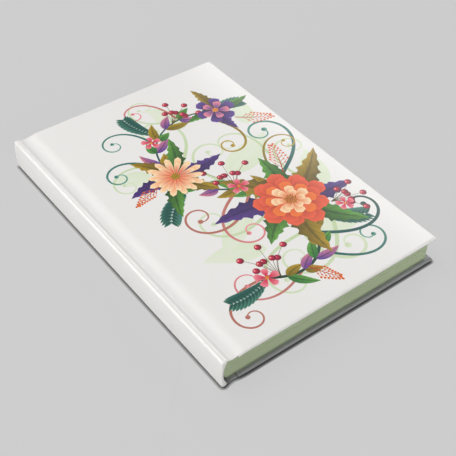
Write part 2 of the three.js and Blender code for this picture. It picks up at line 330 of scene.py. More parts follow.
def leaf_material(name):
    """Cream ruled paper on the flat of the leaf. On its trimmed edges, which lie at the page's rim, the
    tint takes over, streaked along the leaves."""
    material, nodes, links, shader = new_material(name, PAPER_CREAM, 0.85)
    shader.inputs["Specular IOR Level"].default_value = 0.25
    x, y, z = (rest_channel(nodes, links, axis) for axis in range(3))
    row = maths(nodes, links, "PINGPONG", y, RULE_PITCH / 2)
    on_rule = maths(nodes, links, "LESS_THAN", row, RULE_WIDTH / 2)
    in_x = maths(nodes, links, "COMPARE", x, (FOLD_X + PAGE_EDGE_X) / 2)
    in_x.node.inputs[2].default_value = (PAGE_EDGE_X - FOLD_X) / 2 - RULE_MARGIN_X
    in_y = maths(nodes, links, "COMPARE", y, RULE_SHIFT_Y)
    in_y.node.inputs[2].default_value = PAGE_END_Y - RULE_MARGIN_Y
    inked = maths(nodes, links, "MULTIPLY", on_rule, maths(nodes, links, "MULTIPLY", in_x, in_y))
    ruled = mix_colours(nodes, links, inked, PAPER_CREAM, RULE_INK)
    spread = nodes.new("ShaderNodeCombineXYZ")
    for socket, value, scale in zip(spread.inputs, (x, y, z), STREAK_SCALES):
        links.new(maths(nodes, links, "MULTIPLY", value, scale), socket)
    streak = noise(nodes, links, spread.outputs[0], 1.0, 4.0)
    ramp = nodes.new("ShaderNodeMapRange")
    ramp.inputs["From Min"].default_value = 0.3
    ramp.inputs["From Max"].default_value = 0.7
    links.new(streak, ramp.inputs["Value"])
    dark, light = (tuple(share * c for c in EDGE_TINT) for share in (STREAK_DARK, STREAK_LIGHT))
    tint = mix_colours(nodes, links, ramp.outputs[0], dark, light)
    coloured = mix_colours(nodes, links, rim_share(nodes, links, x, y), ruled, tint)
    links.new(coloured, shader.inputs["Base Color"])
    return material


leaf_paper = leaf_material("ruled_paper")


def bend_columns(fold):
    """Where the columns of a leaf's grid lie along X: close together near the fold, then wide apart."""
    near = np.linspace(fold, SPINE_X + NEAR_FOLD, 14)
    far = np.linspace(SPINE_X + NEAR_FOLD, PAGE_EDGE_X - TRIM_STEP, 7)[1:]
    return np.concatenate([near, far, [PAGE_EDGE_X]])


def signature_mesh(fold, low, high):
    """A box grid with three levels to each leaf: the middle one full size, and the one between two
    leaves drawn in by the notch. The spine side is drawn in to a half circle, as a fold is."""
    levels = np.linspace(low, high, 2 * LEAVES + 1)
    inner_rows = np.linspace(-PAGE_END_Y + TRIM_STEP, PAGE_END_Y - TRIM_STEP, 5)
    rows = np.concatenate([[-PAGE_END_Y], inner_rows, [PAGE_END_Y]])
    points, faces = box_grid(bend_columns(fold), rows, levels)
    step = np.rint((points[:, 2] - low) / (high - low) * 2 * LEAVES).astype(int)
    drawn = np.where(step % 2 == 0, LEAF_NOTCH, 0.0)
    points[:, 1] -= np.sign(points[:, 1]) * drawn * (np.abs(points[:, 1]) > PAGE_END_Y - HAIR)
    points[:, 0] -= drawn * (points[:, 0] > PAGE_EDGE_X - HAIR)
    half = (high - low) / 2
    from_middle = np.clip((points[:, 2] - (low + high) / 2) / half, -1, 1)
    on_fold = points[:, 0] < fold + HAIR
    points[:, 0] += np.where(on_fold, half * (1 - np.sqrt(1 - from_middle ** 2)), 0.0)
    return points, faces


def bend_at_folds(piece, is_lower):
    """Fixes a piece of one half of the block in place where it lies; both halves are treated alike."""
    if is_lower:
        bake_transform(piece)
    else:
        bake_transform(piece)


for number in range(1, SIGNATURES + 1):
    node = f"signature_{number:02d}"
    low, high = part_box(node)
    points, faces = signature_mesh(low.x, low.z, high.z)
    piece = make_piece(f"folded_{node}", points, faces, leaf_paper, smooth=False)
    bend_at_folds(piece, number <= SIGNATURES / 2)
    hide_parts(node)

# The leaves in the middle of the block. Each is one sheet of the same ruled paper. It stands on the spine
# lining at its fold.
TURNING_LEAVES = 4
LEAN_RUN = 14 * MM
LEAF_FILL = 0.09 * MM

for number in range(1, TURNING_LEAVES + 1):
    node = f"turning_leaf_{number}"
    low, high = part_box(node)
    columns = np.concatenate([
        np.linspace(low.x, low.x + LEAN_RUN, 16), np.linspace(low.x + LEAN_RUN, high.x, 7)[1:],
    ])
    levels = [low.z - LEAF_FILL, high.z + LEAF_FILL]
    points, faces = box_grid(columns, np.linspace(low.y, high.y, 5), levels)
    piece = make_piece(f"ruled_leaf_{number}", points, faces, leaf_paper, smooth=False)
    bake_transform(piece)
    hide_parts(node)

# The sewing: linen thread through the folds at four stations, in a lower and an upper half. It lies along
# the spine's round, one arc whose middle runs through both hinge lines, and goes with the spine.
CASE_T = case_high.z
SPINE_ROUND = SPINE_X - case_low.x
ROUND_HALF = CASE_T / 2 - KNUCKLE_R
ROUND_R = (SPINE_ROUND ** 2 + ROUND_HALF ** 2) / (2 * SPINE_ROUND)
ROUND_X = SPINE_X + KNUCKLE_R - SPINE_ROUND + ROUND_R
STATIONS = 4
NIPS = 7
NIP_DEPTH = 0.20
LINEN = (0.80, 0.77, 0.68)


def raise_bumps(nodes, links, shader, height, strength, distance):
    """Tilts the shader's normals by a height, at some strength and for some distance."""
    bump = nodes.new("ShaderNodeBump")
    bump.inputs["Strength"].default_value = strength
    bump.inputs["Distance"].default_value = distance
    links.new(height, bump.inputs["Height"])
    links.new(bump.outputs[0], shader.inputs["Normal"])


thread_material, nodes, links, shader = new_material("linen_thread", LINEN, 0.8)
twist = nodes.new("ShaderNodeTexWave")
twist.inputs["Scale"].default_value = 900.0
place = nodes.new("ShaderNodeTexCoord")
links.new(place.outputs["Object"], twist.inputs["Vector"])
raise_bumps(nodes, links, shader, twist.outputs["Fac"], 0.4, 0.1 * MM)


def tube_quads(rows, columns):
    """The quads of a tube: closed rings of points, each joined to the next. Returns them with the index
    of each point by its ring and its place in the ring."""
    index = np.arange(rows * columns).reshape(rows, columns)
    ring = np.concatenate([index, index[:, :1]], 1)
    corners = [ring[:-1, :-1], ring[:-1, 1:], ring[1:, 1:], ring[1:, :-1]]
    return np.stack(corners, -1).reshape(-1, 4), index


def stitch_mesh(node):
    """A cord up the back of the folds: half an ellipse carried along the round, with a nip at each
    signature."""
    low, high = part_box(node)
    half_width = (high.y - low.y) / 2
    base = ROUND_R + KNUCKLE_R - THREAD_DEPTH - half_width
    ends = [math.asin((z - CASE_T / 2) / (base + half_width)) for z in (low.z, high.z)]
    u, v = np.meshgrid(np.linspace(-math.pi / 2, math.pi / 2, 9), np.linspace(0, 1, 57))
    turn = ends[0] + (ends[1] - ends[0]) * v
    swell = 1 - NIP_DEPTH * (1 - np.abs(np.cos(math.pi * v * NIPS)))
    reach = base + half_width * swell * np.cos(u)
    y = (low.y + high.y) / 2 + half_width * np.sin(u)
    points = np.stack([ROUND_X - reach * np.cos(turn), y, CASE_T / 2 + reach * np.sin(turn)], -1)
    quads, index = tube_quads(*u.shape)
    caps = [index[0].tolist(), index[-1][::-1].tolist()]
    return points.reshape(-1, 3), quads[:, [0, 3, 2, 1]], caps


for half in ("lower", "upper"):
    for number in range(1, STATIONS + 1):
        node = f"{half}_stitch_{number}"
        points, quads, caps = stitch_mesh(node)
        piece = make_piece(f"linen_{node}", points, quads, thread_material, smooth=False, caps=caps)
        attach(piece, "spine")
        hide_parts(node)

# The mull: an open-weave cotton cloth glued down the backs of the folds. It bends where its flanges run
# across the joints and under the pastedowns.
MULL_T = 0.2 * MM
MULL_YARN = (0.70, 0.66, 0.56)
MULL_OPENING = (0.42, 0.39, 0.32)
MULL_WEAVE = 0.5 * MM
MULL_YARN_HALF = 0.24 * MM
MULL_ROWS = 9
mull, nodes, links, shader = new_material("mull_cloth", MULL_YARN, 0.95)
x, y, z = (rest_channel(nodes, links, axis) for axis in range(3))
warp = maths(nodes, links, "PINGPONG", y, MULL_WEAVE)
weft = maths(nodes, links, "PINGPONG", maths(nodes, links, "ADD", x, z), MULL_WEAVE)
between = maths(nodes, links, "MINIMUM", warp, weft)
open_between = maths(nodes, links, "GREATER_THAN", between, MULL_YARN_HALF)
weave = mix_colours(nodes, links, open_between, MULL_YARN, MULL_OPENING)
links.new(weave, shader.inputs["Base Color"])


def round_x(depth, z):
    """Where along X a layer at some depth behind the outside of the spine lies at height z: on its own
    circle about the line that the spine is rounded about."""
    return ROUND_X - np.sqrt((ROUND_R + KNUCKLE_R - depth) ** 2 - (z - CASE_T / 2) ** 2)


def mull_mesh(node, block_end, is_back):
    """A strip of cloth with a thickness: along the flange, round a corner and up the round to the end of
    the block, the same at every place along Y."""
    low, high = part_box(node)
    flange = np.linspace(high.x, SPINE_X + MULL_DEPTH + MM, 24)
    base = low.z if is_back else CASE_T - high.z
    rise = np.linspace(base + MULL_T, block_end, 14)
    outer_x = np.concatenate([flange, round_x(MULL_DEPTH, rise)])
    inner_x = np.concatenate([flange, round_x(MULL_DEPTH + MULL_T, rise)])
    outer_z = np.concatenate([np.full_like(flange, base), rise])
    inner_z = np.concatenate([np.full_like(flange, base + MULL_T), np.maximum(rise, base + MULL_T)])
    strip_x = np.concatenate([outer_x, inner_x[::-1]])
    strip_z = np.concatenate([outer_z, inner_z[::-1]])
    rows = np.linspace(low.y, high.y, MULL_ROWS)
    points = np.stack(np.broadcast_arrays(strip_x, rows[:, None], strip_z), -1).reshape(-1, 3)
    if not is_back:
        points[:, 2] = CASE_T - points[:, 2]
    count = len(strip_x)
    walls, index = tube_quads(MULL_ROWS, count)
    half = np.arange(count // 2 - 1)
    cap = np.stack([half, count - 1 - half, count - 2 - half, half + 1], -1)
    faces = np.concatenate([walls, cap, cap[:, ::-1] + index[-1, 0]])
    return points, faces if is_back else faces[:, ::-1]


for node, block_end in (
    ("back_mull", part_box("back_mull")[1].z), ("front_mull", CASE_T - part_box("front_mull")[0].z),
):
    is_back = node == "back_mull"
    piece = make_piece(f"{node}_cloth", *mull_mesh(node, block_end, is_back), mull)
    bend_at_folds(piece, is_back)
    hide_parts(node)

# The case: laminated paper, white in front and grey behind, the grey being painted shade, glued round the
# greyboards and pressed into a groove beside the spine. The boards are rounded like their paper, so that
# they do not show through it.
CASE_W = case_high.x - SPINE_X
CASE_H = case_high.y - case_low.y
BOARD_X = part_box("front_board")[0].x - SPINE_X
PAPER_T = 0.25 * MM
EDGE_R = 1.25 * MM
EDGE_RUN = 1.2 * EDGE_R
GROOVE_DEPTH = 1.15 * MM
GROOVE_VALLEY = 5.6 * MM
GROOVE_RUN = 9.5 * MM
GROOVE_END = GROOVE_VALLEY + GROOVE_RUN
TURN_IN = 15.0 * MM
FEATHER_X = 1.55 * MM
PRINT_DEPTH = 0.08 * MM
JOINT_FILL = 0.26 * MM
FAR = 1.0
NOTHING = 1e-9
COVER_WHITE = (0.82, 0.805, 0.785)
# The back paper's grey is painted shade: it darkens the back cover's edges and the ledge under the block as
# deep shade would.
BACK_SHADE_GREY = (0.29, 0.30, 0.30)
BOARD_GREY = (0.26, 0.255, 0.235)
BOARD_INSET = 0.27 * MM
LAMINATE_WAVES = ((60.0, 1.0), (2600.0, 0.12))


def laminate_material(name, colour):
    """Printed paper under a satin film: an even gloss with the faint, slow waviness of glued paper and a
    fine grain that shows only in the highlights."""
    material, nodes, links, shader = new_material(name, colour, 0.36)
    shader.inputs["Coat Weight"].default_value = 0.4
    shader.inputs["Coat Roughness"].default_value = 0.12
    place = nodes.new("ShaderNodeAttribute")
    place.attribute_name = "Rest"
    height = None
    for scale, amount in LAMINATE_WAVES:
        wave = noise(nodes, links, place.outputs["Vector"], scale, 2.0)
        layer = maths(nodes, links, "MULTIPLY", wave, amount)
        height = layer if height is None else maths(nodes, links, "ADD", height, layer)
    raise_bumps(nodes, links, shader, height, 0.25, 0.04 * MM)
    return material


def flecked(nodes, links, scale, detail, colour, shares):
    """A colour that wanders with a fine noise between two shares of itself."""
    place = nodes.new("ShaderNodeTexCoord")
    fleck = noise(nodes, links, place.outputs["Object"], scale, detail)
    dark, light = (tuple(share * c for c in colour) for share in shares)
    return mix_colours(nodes, links, fleck, dark, light)


greyboard, nodes, links, shader = new_material("greyboard", BOARD_GREY, 0.95)
tone = flecked(nodes, links, 1400.0, 6.0, BOARD_GREY, (0.78, 1.27))
links.new(tone, shader.inputs["Base Color"])
laminate = laminate_material("laminated_white", COVER_WHITE)
laminated_shade_grey = laminate_material("laminated_shade_grey", BACK_SHADE_GREY)


def groove_dip(d):
    """How far the outside dips at a distance d from the back of the spine: a short half wave down to the
    valley and a longer one back up onto the board."""
    span = np.where(d < GROOVE_VALLEY, GROOVE_VALLEY - KNUCKLE_R, GROOVE_RUN)
    inside = (d > KNUCKLE_R) & (d < GROOVE_END)
    wave = GROOVE_DEPTH * (1 + np.cos(math.pi * (d - GROOVE_VALLEY) / span)) / 2
    room_for_ink = PRINT_DEPTH * np.clip((d - KNUCKLE_R) / (GROOVE_VALLEY - KNUCKLE_R), 0, 1)
    return np.where(inside, wave, 0.0) + room_for_ink


def rounded(points, low, high, radius):
    """The points of a box drawn in to round edges: each is clamped to the box less the radius, and put
    back at that radius from where it was clamped. Seen from above the corners stay square."""
    core = np.clip(points, np.add(low, radius), np.subtract(high, radius))
    away = points - core
    length = np.hypot(np.abs(away[:, :2]).max(1), away[:, 2])[:, None]
    return np.where(length > NOTHING, core + away * radius / np.maximum(length, NOTHING), points)


def thicken(outer, inner, faces):
    """A closed body from an open surface given twice, outside and inside, with a rim along its edge."""
    count = len(outer)
    corners = faces.shape[1]
    edges = np.concatenate([faces[:, [k, (k + 1) % corners]] for k in range(corners)])
    key = edges[:, 0] * count + edges[:, 1]
    back = edges[:, 1] * count + edges[:, 0]
    rim = edges[~np.isin(key, back)]
    sides = np.stack([rim[:, 1], rim[:, 0], rim[:, 0] + count, rim[:, 1] + count], -1)
    return np.concatenate([outer, inner]), np.concatenate([faces, faces[:, ::-1] + count, sides])


def near_ends(low, high, run, steps, between):
    """Positions from low to high: close steps within a run of each end, wide ones between."""
    return np.concatenate([
        np.linspace(low, low + run, steps), np.linspace(low + run, high - run, between)[1:-1],
        np.linspace(high - run, high, steps),
    ])


SLOPE = np.linspace(BOARD_X, GROOVE_END, 9)
FLAT = near_ends(GROOVE_END, CASE_W, EDGE_RUN, 6, 12)[6:]
COVER_ROWS = near_ends(-CASE_H / 2, CASE_H / 2, EDGE_RUN, 6, 20)
COVER_LEVELS = np.linspace(0.0, COVER_T, 15)


def cover_paper_mesh(is_back):
    """The paper of one cover and its joint. Seen from the front: a rounded box open on the hinge side
    and inside the turn-ins, with its top carried on as a thin strip through the groove."""
    strip = np.linspace(FEATHER_X, BOARD_X, 22)
    turn_x = CASE_W - TURN_IN
    turn_y = CASE_H / 2 - TURN_IN
    columns = np.unique(np.concatenate([strip, SLOPE[1:], FLAT, [turn_x]]).round(9))
    rows = np.unique(np.concatenate([COVER_ROWS, [-turn_y, turn_y]]).round(9))
    points, faces = box_grid(columns, rows, COVER_LEVELS)
    middle = points[faces].mean(1)
    on_top = middle[:, 2] > COVER_T - HAIR
    past_hinge = middle[:, 0] > BOARD_X
    underside = middle[:, 2] < HAIR
    in_window = underside & (middle[:, 0] < turn_x) & (np.abs(middle[:, 1]) < turn_y)
    faces = faces[on_top | (past_hinge & ~in_window)]
    used, packed = np.unique(faces, return_inverse=True)
    points, faces = points[used], packed.reshape(faces.shape)
    skins = []
    for inset in (0.0, PAPER_T):
        low = (BOARD_X - FAR, -CASE_H / 2 + inset, inset)
        high = (CASE_W - inset, CASE_H / 2 - inset, COVER_T - inset)
        skin = rounded(np.clip(points, low, high), low, high, EDGE_R - inset)
        skin[:, 0] = np.where(points[:, 0] <= BOARD_X + HAIR, points[:, 0], skin[:, 0])
        skin[:, 2] -= groove_dip(points[:, 0]) * skin[:, 2] / COVER_T
        if inset:
            room = np.sqrt(np.maximum(KNUCKLE_R ** 2 - (points[:, 0] - KNUCKLE_R) ** 2, 0.0))
            knuckle = np.where(points[:, 0] < COVER_T, COVER_T - KNUCKLE_R + room, 0.0)
            skin[:, 2] = np.where(points[:, 0] < COVER_T, np.maximum(skin[:, 2], knuckle), skin[:, 2])
            if is_back:
                rise = np.clip((points[:, 0] - COVER_T) / (GROOVE_VALLEY - COVER_T), 0, 1)
                filled = skin[:, 2] * (1 - rise) + JOINT_FILL * rise
                on_joint = (points[:, 0] >= COVER_T) & (points[:, 0] < BOARD_X + HAIR)
                on_joint &= points[:, 2] > COVER_T - HAIR
                skin[:, 2] = np.where(on_joint, np.minimum(skin[:, 2], filled), skin[:, 2])
        skins.append(skin)
    points, faces = thicken(*skins, faces)
    points[:, 0] += SPINE_X
    points[:, 2] += CASE_T - COVER_T
    if is_back:
        points[:, 2] = CASE_T - points[:, 2]
        faces = faces[:, ::-1]
    return points, faces


def board_mesh(is_back):
    """A board: the rounded box of its paper, further in by the paper and glue, and closed all round."""
    points, faces = box_grid(np.concatenate([SLOPE[:-1], FLAT]), COVER_ROWS, COVER_LEVELS)
    low = (BOARD_X - FAR, -CASE_H / 2 + BOARD_INSET, BOARD_INSET)
    high = (CASE_W - BOARD_INSET, CASE_H / 2 - BOARD_INSET, COVER_T - BOARD_INSET)
    board = rounded(np.clip(points, low, high), low, high, EDGE_R - BOARD_INSET)
    board[:, 0] = np.maximum(board[:, 0], BOARD_X)
    board[:, 2] -= groove_dip(points[:, 0]) * board[:, 2] / COVER_T
    board += (SPINE_X, 0, CASE_T - COVER_T)
    if is_back:
        board[:, 2] = CASE_T - board[:, 2]
        faces = faces[:, ::-1]
    return board, faces


for side, body in (("back", "lower_half"), ("front", "front_cover")):
    piece = make_piece(f"{side}_greyboard", *board_mesh(side == "back"), greyboard)
    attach(piece, body)
    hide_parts(f"{side}_board")

# The back cover's paper, in the grey of painted shade.
piece = make_piece("back_case_paper", *cover_paper_mesh(True), laminated_shade_grey)
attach(piece, "lower_half")
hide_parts("back_cover_paper", "back_joint_paper")

piece = make_piece("front_case_paper", *cover_paper_mesh(False), laminate)
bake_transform(piece)
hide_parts("front_cover_paper", "front_joint_paper")

# The same paper round the stiff strip of the spine: an almost flat back with squared long edges about the
# two hinge lines, turned in at head and tail. The strip inside is rounder and lies clear of the covers.
ROUND_TURN = math.asin(ROUND_HALF / ROUND_R)
LINING_REACH = 1.01 * MM
BOARD_REACH = 1.00 * MM
SPINE_ROLL = 0.8
SPINE_SQUARE = 1.0 * MM
SPINE_BULGE = 0.4 * MM
STRIP_BULGE = 1.2 * MM
CORNER_STEPS = (8, 7)
ARC_STEPS = 17
SPINE_ROWS = 14


def spine_strip_mesh(outside, inside, half_length, square, bulge):
    """A bent strip with round ends, run along Y. Its outside has corners that stand out squarely from
    the hinge lines and a low bulge between them; its lining is an arc that keeps to the round of the
    block. At head and tail the section is drawn in towards the arc midway, as a rolled edge is."""
    flat_r = (bulge ** 2 + ROUND_HALF ** 2) / (2 * bulge)
    flat_x = KNUCKLE_R - square - bulge + flat_r
    flat_turn = math.asin(ROUND_HALF / flat_r)
    cap = np.concatenate([
        np.linspace(-flat_turn, math.pi / 2, CORNER_STEPS[0]),
        np.linspace(math.pi / 2, math.pi - flat_turn, CORNER_STEPS[1]),
    ])
    cap_x = KNUCKLE_R - square * np.repeat([0, 1], CORNER_STEPS)
    side = math.pi + np.linspace(-flat_turn, flat_turn, ARC_STEPS)[1:-1]
    lining = math.pi + np.linspace(ROUND_TURN, -ROUND_TURN, ARC_STEPS)[1:-1]
    turns = np.concatenate([cap, side, 2 * math.pi - cap[::-1], lining])
    centre_x = np.concatenate([
        cap_x, flat_x + flat_r * np.cos(side), cap_x[::-1],
        ROUND_X - SPINE_X + ROUND_R * np.cos(lining),
    ])
    centre_z = np.concatenate([
        np.full_like(cap, CASE_T - KNUCKLE_R), CASE_T / 2 + flat_r * np.sin(side),
        np.full_like(cap, KNUCKLE_R), CASE_T / 2 + ROUND_R * np.sin(lining),
    ])
    reach = np.repeat([outside, -inside], [len(turns) - len(lining), len(lining)])
    outline = np.stack([centre_x + reach * np.cos(turns), centre_z + reach * np.sin(turns)], -1)
    up = np.clip(outline[:, 1] - CASE_T / 2, -ROUND_HALF, ROUND_HALF)
    outer = flat_x - np.sqrt((flat_r + outside) ** 2 - up ** 2)
    inner = ROUND_X - SPINE_X - np.sqrt((ROUND_R - inside) ** 2 - up ** 2)
    midway = np.stack([(outer + inner) / 2, CASE_T / 2 + up], -1)
    roll = np.linspace(0, math.pi / 2, 6)
    edge = outside * SPINE_ROLL
    ends = half_length - edge * (1 - np.sin(roll))
    girth = 1 - SPINE_ROLL * (1 - np.cos(roll))
    rows = np.concatenate([-ends[::-1], np.linspace(-ends[0], ends[0], SPINE_ROWS)[1:-1], ends])
    size = np.concatenate([girth[::-1], np.ones(SPINE_ROWS - 2), girth])
    section = midway[None] + (outline - midway)[None] * size[:, None, None]
    y = np.broadcast_to(rows[:, None], section.shape[:2])
    points = np.stack([section[..., 0] + SPINE_X, y, section[..., 1]], -1)
    quads, index = tube_quads(len(rows), len(outline))
    return points.reshape(-1, 3), quads, [index[0].tolist()[::-1], index[-1].tolist()]


spine_paper = spine_strip_mesh(KNUCKLE_R, LINING_REACH, CASE_H / 2, SPINE_SQUARE, SPINE_BULGE)
spine_strip = spine_strip_mesh(
    KNUCKLE_R - BOARD_INSET, BOARD_REACH, CASE_H / 2 - BOARD_INSET, 0.0, STRIP_BULGE,
)
for name, node, (points, quads, caps), material, slot in (
    ("spine_case_paper", "spine_cover_paper", spine_paper, laminate, "cover_paper"),
    ("spine_greyboard", "spine_board", spine_strip, greyboard, "greyboard"),
):
    piece = make_piece(name, points, quads, material, caps=caps)
    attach(piece, "spine")
    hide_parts(node)

# Each endpaper is a folded sheet: one half pasted over the turn-ins of a board, the other left free as the
# flyleaf. The trimmed edges are tinted like the block's.
ENDPAPER = (0.86, 0.84, 0.76)
ENDPAPER_T = 0.15 * MM
ENDPAPER_NEAR = 12 * MM
SUNK = 0.05 * MM

endpaper, nodes, links, shader = new_material("endpaper", ENDPAPER, 0.8)
shader.inputs["Specular IOR Level"].default_value = 0.25
tone = flecked(nodes, links, 900.0, 5.0, ENDPAPER, (0.965, 1.0))
x, y = (rest_channel(nodes, links, axis) for axis in range(2))
edged = mix_colours(nodes, links, rim_share(nodes, links, x, y), tone, EDGE_TINT)
links.new(edged, shader.inputs["Base Color"])


def pastedown_mesh(node, is_back):
    """A thin sheet over the board's inside. It sinks a hair within the turn-ins, whose edges show."""
    low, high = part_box(node)
    turn_x = SPINE_X + CASE_W - TURN_IN
    turn_y = CASE_H / 2 - TURN_IN
    columns = np.concatenate([
        np.linspace(FOLD_X, SPINE_X + ENDPAPER_NEAR, 12),
        np.linspace(SPINE_X + ENDPAPER_NEAR, turn_x - MM, 6)[1:], [turn_x],
        np.linspace(turn_x + MM, high.x, 3),
    ])
    inner = np.linspace(-turn_y + MM, turn_y - MM, 8)
    rows = np.concatenate([[low.y, -turn_y - MM, -turn_y], inner, [turn_y, turn_y + MM, high.y]])
    base = high.z - ENDPAPER_T if is_back else low.z
    points, faces = box_grid(columns, rows, [base, base + ENDPAPER_T])
    sunk = (points[:, 0] < turn_x - HAIR) & (np.abs(points[:, 1]) < turn_y - HAIR)
    points[:, 2] += np.where(sunk, SUNK, 0.0) * (-1 if is_back else 1)
    return points, faces


piece = make_piece("back_endpaper", *pastedown_mesh("back_pastedown", True), endpaper, False)
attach(piece, "lower_half")
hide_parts("back_pastedown")
piece = make_piece("front_endpaper", *pastedown_mesh("front_pastedown", False), endpaper, False)
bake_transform(piece)
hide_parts("front_pastedown", "front_endpaper_hinge")


def dress(node, material):
    """Gives a node of the frame its finish."""
    mesh = frame["nodes"][node].data
    mesh.materials.clear()
    mesh.materials.append(material)


dress("spine_inlay", endpaper)

for side in ("back", "front"):
    low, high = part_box(f"{side}_flyleaf")
    columns = bend_columns(low.x)
    points, faces = box_grid(columns, np.linspace(low.y, high.y, 5), [low.z, high.z])
    piece = make_piece(f"{side}_endpaper_leaf", points, faces, endpaper, smooth=False)
    bend_at_folds(piece, side == "back")
    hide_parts(f"{side}_flyleaf")

dress("front_mull_flange", mull)

# The print on the front cover: a generic garland of blossoms, leaves, berries and curls, drawn as very
# thin films of ink under the laminate. Each film is a petal, leaf or line from one of a few formulas.
INK_T = 0.001 * MM
INK_STEP = 0.00008 * MM
PRINT_SCALE = 0.97
INK_GAMMA = 2.2
GOLDEN_ANGLE = 137.5
CURL_STEPS = 60
FROND_STEPS = 27
SPRIG_STEPS = 17
SPRIG_BEND = 18
HEART_DOTS = 26
BERRIES = 8
PETAL_TIP = 0.35
SHADES = {
    "coral": (0.92, 0.37, 0.24), "cream": (0.99, 0.88, 0.70), "orange": (0.93, 0.47, 0.16),
    "rust": (0.66, 0.15, 0.07), "purple": (0.38, 0.25, 0.58), "plum": (0.15, 0.08, 0.28),
    "olive": (0.50, 0.42, 0.05), "gold": (0.76, 0.62, 0.10), "moss": (0.27, 0.23, 0.02),
    "green": (0.15, 0.45, 0.19), "lime": (0.42, 0.68, 0.26), "pine": (0.03, 0.21, 0.11),
    "teal": (0.05, 0.34, 0.33), "mint": (0.36, 0.62, 0.54), "crimson": (0.90, 0.06, 0.32),
    "pink": (0.93, 0.54, 0.58), "rose": (0.70, 0.43, 0.37), "sage": (0.845, 0.885, 0.775),
    "pale": (0.88, 0.90, 0.83), "wine": (0.40, 0.02, 0.14), "celery": (0.75, 0.825, 0.645),
}
INKS = {name: np.power(colour, INK_GAMMA) for name, colour in SHADES.items()}
VINE_INKS = (("green", "lime", "pine"), ("olive", "gold", "moss"), ("purple", "pink", "plum"))
LEAF_INKS = {
    "olive": ("moss", "gold", "moss"), "green": ("pine", "lime", "pine"),
    "purple": ("plum", "purple", "plum"),
}
films = []


def film(grid, colours):
    """Keeps one film of ink: a grid of points on the cover, in millimetres from its middle, and the
    colour at each."""
    films.append((grid * PRINT_SCALE, colours))


def midline(start, heading, length, bend, count):
    """A curve of some length whose direction turns evenly from the heading by the bend."""
    angle = math.radians(heading) + math.radians(bend) * np.linspace(0, 1, count)
    step = length / (count - 1) * np.stack([np.cos(angle), np.sin(angle)], -1)
    return np.asarray(start) + np.concatenate([[[0, 0]], np.cumsum(step[:-1], axis=0)])


def widened(line, half_width, across):
    """A grid of points across a line: at each place on it, points from one side to the other."""
    along = np.gradient(line, axis=0)
    along /= np.linalg.norm(along, axis=1, keepdims=True)
    side = np.stack([-along[:, 1], along[:, 0]], -1)
    return line[:, None] + side[:, None] * half_width[:, None, None] * across[None, :, None]


def blended(first, second, share):
    """A colour between two others, for an array of shares. Each is an ink's name or a colour."""
    first, second = (INKS[c] if isinstance(c, str) else c for c in (first, second))
    return first * (1 - share[..., None]) + second * share[..., None]


def leaf(start, heading, length, width, bend, inks, lobes=0, fine=True):
    """A leaf: widest a third of the way along and pointed, lobed if asked. The colour goes from the
    first ink at the stalk to the second at the tip, with the third along the veins."""
    u, v = np.linspace(0, 1, 24 if fine else 7), np.linspace(-1, 1, 9 if fine else 3)
    notches = 1 - 0.38 * np.abs(np.sin(math.pi * lobes * u))
    half = width * np.sin(math.pi * u ** 0.72) ** 0.9 * notches
    grid = widened(midline(start, heading, length, bend, len(u)), half, v)
    u, v = np.meshgrid(u, v, indexing="ij")
    colour = blended(inks[0], inks[1], np.clip(0.75 * u + 0.25 * v, 0, 1))
    midrib = np.exp(-(v / 0.13) ** 2)
    veins = 0.5 * np.cos(math.pi * (9 * u - 1.6 * np.abs(v))) ** 8 * fine
    film(grid, blended(colour, inks[2], 0.75 * np.maximum(midrib, veins)))


def petal(start, heading, length, width, inks):
    """A petal: narrow at its foot and broad and round near its end, with fine lines up from a dark foot
    and a light rim."""
    u, v = np.linspace(0, 1, 10), np.linspace(-1, 1, 7)
    half = width * u ** 0.8 * np.maximum(1 - u ** (2 / PETAL_TIP), 0.0) ** 0.5
    line = midline(start, heading, length, 8, len(u))
    grid = widened(line, half + 0.02, v)
    u, v = np.meshgrid(u, v, indexing="ij")
    colour = blended(inks[0], inks[1], np.clip(1.15 * u ** 1.3 - 0.1, 0, 1))
    lines = 0.35 * np.cos(math.pi * 3 * v) ** 4 * (1 - u)
    rim = np.clip(np.abs(v) ** 5 * 0.6 + np.clip(u - 0.86, 0, 1) * 3, 0, 1)
    film(grid, blended(blended(colour, inks[2], lines), INKS[inks[1]] * 1.04, rim))


def dot(place, radius, inks):
    """A round dot, shaded like a bead from the first ink at its light side to the second."""
    r, turn = np.meshgrid(np.linspace(0.02, 1, 3), np.linspace(0, 2 * math.pi, 11), indexing="ij")
    grid = np.asarray(place) + radius * np.stack([r * np.cos(turn), r * np.sin(turn)], -1)
    toward = np.hypot(r * np.cos(turn) + 0.35, r * np.sin(turn) - 0.35)
    film(grid, blended(inks[0], inks[1], np.clip(toward / 1.2, 0, 1)))


def stroke(line, start_width, end_width, inks):
    """A drawn line that thins from one width to another and goes from the first ink to the second."""
    u = np.linspace(0, 1, len(line))
    grid = widened(line, (start_width + (end_width - start_width) * u) / 2, np.array([-1.0, 0.0, 1.0]))
    film(grid, blended(inks[0], inks[1], np.broadcast_to(u[:, None], (len(line), 3))))


def curl(start, heading, size, turn, width, inks):
    """A curl: a line that bends more and more tightly until it has turned by so many degrees, with a
    dot at its end."""
    u = np.linspace(0, 1, CURL_STEPS)
    angle = math.radians(heading) + math.radians(turn) * u ** 1.9
    step = size / CURL_STEPS * np.stack([np.cos(angle), np.sin(angle)], -1) * (1.25 - 0.75 * u[:, None])
    line = np.asarray(start) + np.cumsum(step, axis=0)
    stroke(line, width, 0.35 * width, inks)
    dot(line[-1], 0.75 * width, inks)


